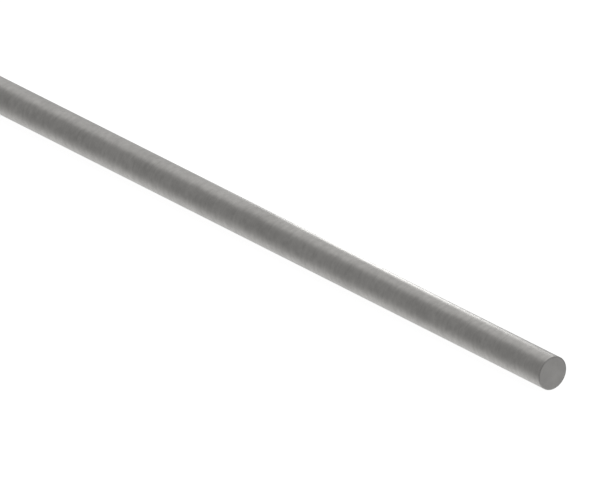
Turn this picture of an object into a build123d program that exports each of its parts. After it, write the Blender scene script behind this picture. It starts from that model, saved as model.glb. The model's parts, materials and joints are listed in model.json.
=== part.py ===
from build123d import *

import os

# A round metal bar: one straight length of bright round stock, cut square at both ends.
# Millimetres, Z up. The bar lies along X. Its lowest line is on Z = 0, with mid-length at X = 0.

# Driving dimensions
bar_diameter = 25.0
bar_length = 1000.0
chamfer_depth = 0.4  # how far the edge break runs back along the bar from each cut face
chamfer_width = 0.8  # how far it comes in across the cut face

# Where the bar lies
axis_height = bar_diameter / 2
cut_plane = Plane(origin=(-bar_length / 2, 0, axis_height), x_dir=(0, 1, 0), z_dir=(1, 0, 0))

with BuildPart() as round_bar:
    # The round section, run from one cut end to the other
    with BuildSketch(cut_plane) as section:
        Circle(radius=bar_diameter / 2)
    extrude(amount=bar_length)

    # The edge break round each cut face
    for cut_face in round_bar.faces().filter_by(Axis.X):
        chamfer(cut_face.edges(), length=chamfer_width, length2=chamfer_depth, reference=cut_face)

round_bar.part.label = "round_bar"

os.makedirs("parts", exist_ok=True)
export_step(round_bar.part, "parts/round_bar.step")
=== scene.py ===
"""A round metal bar, lying on a pale floor. Metres, in the row frame: X along the bar, Z up."""

import json
import math

import bpy
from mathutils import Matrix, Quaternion, Vector


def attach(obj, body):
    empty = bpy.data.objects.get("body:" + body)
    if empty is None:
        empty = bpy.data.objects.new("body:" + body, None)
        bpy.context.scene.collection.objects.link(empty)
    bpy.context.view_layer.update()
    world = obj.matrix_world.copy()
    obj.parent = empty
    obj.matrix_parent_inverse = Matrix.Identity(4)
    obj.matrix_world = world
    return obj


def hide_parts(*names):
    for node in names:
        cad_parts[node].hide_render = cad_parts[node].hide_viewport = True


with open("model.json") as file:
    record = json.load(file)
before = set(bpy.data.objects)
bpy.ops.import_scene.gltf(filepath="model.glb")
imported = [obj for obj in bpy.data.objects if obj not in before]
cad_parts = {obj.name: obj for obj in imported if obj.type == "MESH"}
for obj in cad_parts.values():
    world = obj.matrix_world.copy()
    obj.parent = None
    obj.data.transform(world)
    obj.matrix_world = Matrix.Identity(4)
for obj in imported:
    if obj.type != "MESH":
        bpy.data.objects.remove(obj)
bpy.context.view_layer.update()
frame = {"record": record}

# ---------------------------------------------------------------- sizes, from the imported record

MM = 0.001
mounts = {mount["name"]: mount for mount in frame["record"]["mounts"]}
shank = mounts["shank"]
radius = shank["dims"]["r_mm"] * MM
axis_point = Vector(shank["pos_m"])
half_length = mounts["end_plus_x"]["pos_m"][0]
chamfer_depth = half_length - shank["dims"]["length_mm"] * MM / 2

# Details finer than the record
chamfer_width = 0.8 * MM  # how far the edge break comes in across the cut face
edge_rounding = 0.12 * MM  # left on the two edges of the chamfer
relief_depth = 0.02 * MM  # of the tool marks, before each metal's own strength

# The mesh and its texture map
segments = 192  # round the bar
arc_steps = 5  # along each rounded edge
face_rings = (0, 0.4, 0.8)  # of the way from the middle of a cut face to its edge
map_rows = 6  # the map holds the shank as this many lengths, one above the other
shank_share = 0.86  # of the map's height. The two cut faces lie side by side above it
map_gap = 0.004  # kept clear round each part of the map

# ---------------------------------------------------------------- the bar's mesh


def rounded(before, corner, after):
    """The arc that rounds one corner of an outline, as (point, outward normal) pairs in (x, r)."""
    way_in, way_out = (corner - before).normalized(), (after - corner).normalized()
    start = corner - way_in * edge_rounding * math.tan(way_in.angle(way_out) / 2)
    normal_in, normal_out = Vector((way_in.y, -way_in.x)), Vector((way_out.y, -way_out.x))
    centre = start - normal_in * edge_rounding
    normals = [normal_in.slerp(normal_out, step / arc_steps) for step in range(arc_steps + 1)]
    return [(centre + normal * edge_rounding, normal) for normal in normals]


def end_outline():
    """Half of the bar's outline, from the centre of the +X cut face out to the shank."""
    centre = Vector((half_length, 0))
    face_edge = Vector((half_length, radius - chamfer_width))
    shank_edge = Vector((half_length - chamfer_depth, radius))
    middle = Vector((0, radius))
    face = [(centre.lerp(face_edge, share), Vector((1, 0))) for share in face_rings]
    return face + rounded(centre, face_edge, shank_edge) + rounded(face_edge, shank_edge, middle)


def bar_outline():
    """The whole outline, from the centre of the -X face to the centre of the +X face."""
    end = end_outline()
    far_end = [(Vector((-p.x, p.y)), Vector((-n.x, n.y))) for p, n in end]
    row = 2 * half_length / map_rows
    between = [
        (Vector((row * step - half_length, radius)), Vector((0, 1))) for step in range(1, map_rows)
    ]
    return far_end + between + end[::-1]


def turned(x, r, angle):
    """A point or direction (x, r) of the outline, turned about the bar's axis from its lowest line."""
    return Vector((x, r * math.sin(angle), -r * math.cos(angle)))


def map_place(x, r, turn, on_face, row):
    """Where a corner of the mesh lies in the texture map. Turn is its share of the way round."""
    if on_face:
        size = (1 - shank_share) / 2 - map_gap
        middle_u = 0.25 if x < 0 else 0.75
        middle_v = 1 - map_gap - size
        reach = size * r / radius
        angle = 2 * math.pi * turn
        return (middle_u + reach * math.sin(angle), middle_v - reach * math.cos(angle))
    along = (x + half_length) * map_rows / (2 * half_length) - row
    height = shank_share / map_rows
    u = map_gap + along * (1 - 2 * map_gap)
    v = row * height + map_gap + turn * (height - 2 * map_gap)
    return (u, v)


def make_bar():
    """The bar, turned from its outline, with exact normals and a texture map."""
    outline = bar_outline()
    last = len(outline) - 1
    vertices, normals, rings = [], [], []
    for point, normal in outline:
        count = segments if point.y > 0 else 1
        rings.append(range(len(vertices), len(vertices) + count))
        for step in range(count):
            angle = 2 * math.pi * step / segments
            vertices.append(Vector((0, 0, axis_point.z)) + turned(point.x, point.y, angle))
            normals.append(turned(normal.x, normal.y, angle))

    shank_start = len(end_outline()) - 1  # the first ring of the shank. The ends are alike
    faces, places, is_cut = [], [], []
    for ring in range(last):
        on_face = not shank_start <= ring < last - shank_start
        row = ring - shank_start
        for step in range(segments):
            corners = [(ring, step), (ring, step + 1), (ring + 1, step + 1), (ring + 1, step)]
            if ring == 0:  # a triangle at the middle of each cut face
                corners.pop(0)
            if ring == last - 1:
                corners.pop()
            faces.append([rings[k][s % len(rings[k])] for k, s in corners])
            is_cut.append(on_face)
            for k, s in corners:
                point = outline[k][0]
                places.append(map_place(point.x, point.y, s / segments, on_face, row))

    mesh = bpy.data.meshes.new("bar")
    mesh.from_pydata(vertices, [], faces)
    texture_map = mesh.uv_layers.new(name="OFBake")
    for loop, place in zip(texture_map.uv, places):
        loop.vector = place
    for polygon, cut in zip(mesh.polygons, is_cut):
        polygon.use_smooth = True
        polygon.material_index = 1 if cut else 0
    mesh.normals_split_custom_set_from_vertices(normals)
    bar = bpy.data.objects.new("bar", mesh)
    bpy.context.scene.collection.objects.link(bar)
    return bar


# ---------------------------------------------------------------- materials


class Nodes:
    """Short ways to add nodes to one material or world."""

    def __init__(self, owner):
        owner.use_nodes = True
        self.tree = owner.node_tree
        self.tree.nodes.clear()

    def add(self, kind, inputs=None, **settings):
        node = self.tree.nodes.new(kind)
        for name, value in settings.items():
            setattr(node, name, value)
        for socket, value in (inputs or {}).items():
            if isinstance(value, bpy.types.NodeSocket):
                self.tree.links.new(value, node.inputs[socket])
            else:
                node.inputs[socket].default_value = value
        return node

    def total(self, start, *parts):
        """Start, plus each part's value times its weight. Each may be a number or a socket."""
        for value, weight in parts:
            terms = {0: value, 1: weight, 2: start}
            start = self.add("ShaderNodeMath", terms, operation="MULTIPLY_ADD").outputs[0]
        return start

    def scaled(self, colour, factor):
        terms = {0: colour, "Scale": factor}
        return self.add("ShaderNodeVectorMath", terms, operation="SCALE").outputs[0]

    def ramp(self, value, low, high, at_low, at_high, interpolation="LINEAR"):
        """A value that goes from at_low to at_high while another goes from low to high."""
        terms = {
            "Value": value,
            "From Min": low,
            "From Max": high,
            "To Min": at_low,
            "To Max": at_high,
        }
        ramp = self.add("ShaderNodeMapRange", terms, interpolation_type=interpolation)
        return ramp.outputs[0]

    def noise(self, place, stretch, detail, seed):
        """Noise from -0.5 to 0.5 with features of the size stretch, in metres, in X, Y and Z."""
        scale = [1 / size for size in stretch]
        moved = self.add(
            "ShaderNodeMapping", {"Vector": place, "Location": (seed, seed, seed), "Scale": scale}
        )
        noise = self.add(
            "ShaderNodeTexNoise", {"Vector": moved.outputs[0], "Scale": 1.0, "Detail": detail}
        )
        terms = {0: noise.outputs["Fac"], 1: 0.5}
        return self.add("ShaderNodeMath", terms, operation="SUBTRACT").outputs[0]

    def metal(self, colour, roughness, relief, strength):
        """A metal surface, with fine relief that catches the light."""
        bump = self.add(
            "ShaderNodeBump", {"Strength": strength, "Distance": relief_depth, "Height": relief}
        )
        shader = self.add(
            "ShaderNodeBsdfPrincipled",
            {
                "Base Color": colour,
                "Metallic": 1.0,
                "Roughness": roughness,
                "Normal": bump.outputs[0],
            },
        )
        self.add("ShaderNodeOutputMaterial", {"Surface": shader.outputs[0]})


def bright_steel():
    """Ground bright bar: a fine lay round the bar, faint streaks with it, and soft blotches."""
    material = bpy.data.materials.new("bright_steel")
    nodes = Nodes(material)
    place = nodes.add("ShaderNodeTexCoord").outputs["Object"]
    lay = nodes.noise(place, (0.35 * MM, 14 * MM, 14 * MM), detail=2.0, seed=3.1)
    streaks = nodes.noise(place, (3 * MM, 5 * MM, 5 * MM), detail=3.0, seed=7.7)
    blotches = nodes.noise(place, (36 * MM, 22 * MM, 22 * MM), detail=3.0, seed=22.3)
    shade = nodes.total(1.0, (streaks, 0.42), (blotches, 0.31), (lay, 0.35))
    colour = nodes.scaled((0.3675, 0.3600, 0.3475), shade)
    roughness = nodes.total(0.378, (streaks, -0.06))
    nodes.metal(colour, roughness, lay, 0.06)
    return material


def cut_steel():
    """The cut faces: duller, with fine facing rings, and an edge break darkened by painted shade."""
    material = bpy.data.materials.new("cut_steel")
    nodes = Nodes(material)
    place = nodes.add("ShaderNodeTexCoord").outputs["Object"]
    across = nodes.add(
        "ShaderNodeVectorMath",
        {0: place, 1: (0, 1, 1), 2: (0, 0, -axis_point.z)},
        operation="MULTIPLY_ADD",
    )
    length = nodes.add("ShaderNodeVectorMath", {0: across.outputs[0]}, operation="LENGTH")
    from_axis = length.outputs["Value"]
    ring_place = nodes.add("ShaderNodeCombineXYZ", {"X": from_axis}).outputs[0]
    rings = nodes.noise(ring_place, (0.25 * MM, 1.0, 1.0), detail=2.0, seed=5.9)
    blotches = nodes.noise(place, (9 * MM, 9 * MM, 9 * MM), detail=3.0, seed=2.4)
    face_radius = radius - chamfer_width
    soft = 0.1 * MM  # half the width over which painted shade darkens the edge break
    # Painted shade: the colour is darkened over the edge break and the outer rim of the face
    edge = nodes.ramp(from_axis, face_radius - soft, face_radius + soft, 0.0, -0.18, "SMOOTHSTEP")
    shade = nodes.total(1.0, (rings, 0.35), (blotches, 0.30), (edge, 1.0))
    colour = nodes.scaled((0.332, 0.326, 0.3175), shade)
    roughness = nodes.total(0.45, (rings, 0.1))
    nodes.metal(colour, roughness, rings, 0.3)
    return material


def floor_paint():
    """White where nothing shades it, with a faint shadow. Metal sees it white, and greyer far off."""
    from_above, far_off = 1.40, 0.486  # how bright metal sees it from straight above and far off
    material = bpy.data.materials.new("floor_paint")
    nodes = Nodes(material)
    path = nodes.add("ShaderNodeLightPath").outputs
    diffuse = nodes.add("ShaderNodeBsdfDiffuse", {"Color": (0.2, 0.2, 0.2, 1)})
    glow = nodes.add("ShaderNodeEmission", {"Color": (1, 1, 1, 1), "Strength": 0.93})
    glow_for_camera = nodes.add(
        "ShaderNodeMixShader", {0: path["Is Camera Ray"], 2: glow.outputs[0]}
    )
    seen = nodes.add("ShaderNodeAddShader", {0: diffuse.outputs[0], 1: glow_for_camera.outputs[0]})

    # What metal sees is also a little polished, so that it mirrors the studio at low angles
    facing = nodes.add("ShaderNodeLayerWeight", {"Blend": 0.744}).outputs["Facing"]
    level = nodes.ramp(facing, 0.27, 1.0, from_above, far_off)
    white = nodes.add("ShaderNodeEmission", {"Color": (1, 1, 1, 1), "Strength": level})
    gloss = nodes.add("ShaderNodeBsdfGlossy", {"Color": (1, 1, 1, 1), "Roughness": 0.272})
    fresnel = nodes.add("ShaderNodeFresnel", {"IOR": 1.375})
    polished = nodes.add(
        "ShaderNodeMixShader", {0: fresnel.outputs[0], 1: white.outputs[0], 2: gloss.outputs[0]}
    )
    mirrored = {0: path["Is Glossy Ray"], 1: path["Is Transmission Ray"]}
    in_metal = nodes.add("ShaderNodeMath", mirrored, operation="MAXIMUM").outputs[0]
    surface = nodes.add(
        "ShaderNodeMixShader", {0: in_metal, 1: seen.outputs[0], 2: polished.outputs[0]}
    )
    nodes.add("ShaderNodeOutputMaterial", {"Surface": surface.outputs[0]})
    return material


# ---------------------------------------------------------------- floor, light and camera


def make_floor():
    reach = 60.0  # well past all that a camera sees
    corners = [(-reach, -reach, 0), (reach, -reach, 0), (reach, reach, 0), (-reach, reach, 0)]
    mesh = bpy.data.meshes.new("floor")
    mesh.from_pydata(corners, [], [(0, 1, 2, 3)])
    mesh.materials.append(floor_paint())
    floor = bpy.data.objects.new("floor", mesh)
    bpy.context.scene.collection.objects.link(floor)


def make_world():
    """A studio that is bright overhead and behind the bar, and darker in front of it."""
    front, back_low, back_high = 0.473, 0.67, 1.035
    high = 0.6  # the upward part of a direction, from which the back is at its brightest
    front_y, back_y = -0.28, 0.104  # the front gives way to the back between these
    world = bpy.data.worlds.new("studio")
    bpy.context.scene.world = world
    nodes = Nodes(world)
    direction = nodes.add("ShaderNodeTexCoord").outputs["Generated"]
    parts = nodes.add("ShaderNodeSeparateXYZ", {0: direction}).outputs
    back_over_front = nodes.ramp(parts["Z"], 0.0, high, back_low - front, back_high - front)
    behind = nodes.ramp(parts["Y"], front_y, back_y, 0.0, 1.0, "SMOOTHSTEP")
    level = nodes.total(front, (behind, back_over_front))
    path = nodes.add("ShaderNodeLightPath").outputs
    light = nodes.add("ShaderNodeBackground", {"Color": (1, 1, 1, 1), "Strength": level})
    white = nodes.add("ShaderNodeBackground", {"Color": (1, 1, 1, 1), "Strength": 1.0})
    surface = nodes.add(
        "ShaderNodeMixShader",
        {0: path["Is Camera Ray"], 1: light.outputs[0], 2: white.outputs[0]},
    )
    nodes.add("ShaderNodeOutputWorld", {"Surface": surface.outputs[0]})


def make_softbox():
    """A softbox close behind the bar, which puts a bright streak along its upper edge."""
    width, height = 0.116, 0.202
    along_bar, behind_bar = -0.073, 0.400
    lean = math.radians(47.1)
    brightness = 3.52
    lowest = 0.001  # the height of its lowest corner
    middle = lowest + (height * math.cos(lean) + width * math.sin(lean)) / 2
    data = bpy.data.lights.new("softbox", "AREA")
    data.shape = "RECTANGLE"
    data.size, data.size_y = width, height
    data.energy = brightness * math.pi * width * height
    softbox = bpy.data.objects.new("softbox", data)
    softbox.location = (along_bar, behind_bar, middle)
    facing = Vector((1, -1, 0)).to_track_quat("-Z", "Y")
    softbox.rotation_mode = "QUATERNION"
    softbox.rotation_quaternion = facing @ Quaternion((0, 0, 1), lean)
    softbox.visible_camera = False
    bpy.context.scene.collection.objects.link(softbox)


def make_camera():
    """A long lens, as the view shows no convergence. It sees the cut end and over half of the bar."""
    azimuth, elevation = math.radians(51.2), math.radians(23.88)
    lens, sensor = 1400.0, 36.0
    view_width = 17.0 * 2 * radius
    aim_from_end = 0.28227
    aim_below_axis = 0.00271  # in the picture's plane
    back = Vector(
        (
            math.sin(azimuth) * math.cos(elevation),
            -math.cos(azimuth) * math.cos(elevation),
            math.sin(elevation),
        )
    )
    up = back.cross(Vector((math.cos(azimuth), math.sin(azimuth), 0)))
    aim = Vector((half_length - aim_from_end, 0, axis_point.z)) - up * aim_below_axis
    data = bpy.data.cameras.new("camera")
    data.lens, data.sensor_width = lens, sensor
    data.clip_start, data.clip_end = 1.0, 200.0
    camera = bpy.data.objects.new("camera", data)
    camera.location = aim + back * (view_width * lens / sensor)
    camera.rotation_mode = "QUATERNION"
    camera.rotation_quaternion = (-back).to_track_quat("-Z", "Y")
    bpy.context.scene.collection.objects.link(camera)
    bpy.context.scene.camera = camera


bar = make_bar()
bar.data.materials.append(bright_steel())
bar.data.materials.append(cut_steel())
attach(bar, "root")
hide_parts("round_bar")

make_floor()
make_world()
make_softbox()
make_camera()

bpy.context.scene.view_settings.view_transform = "Standard"
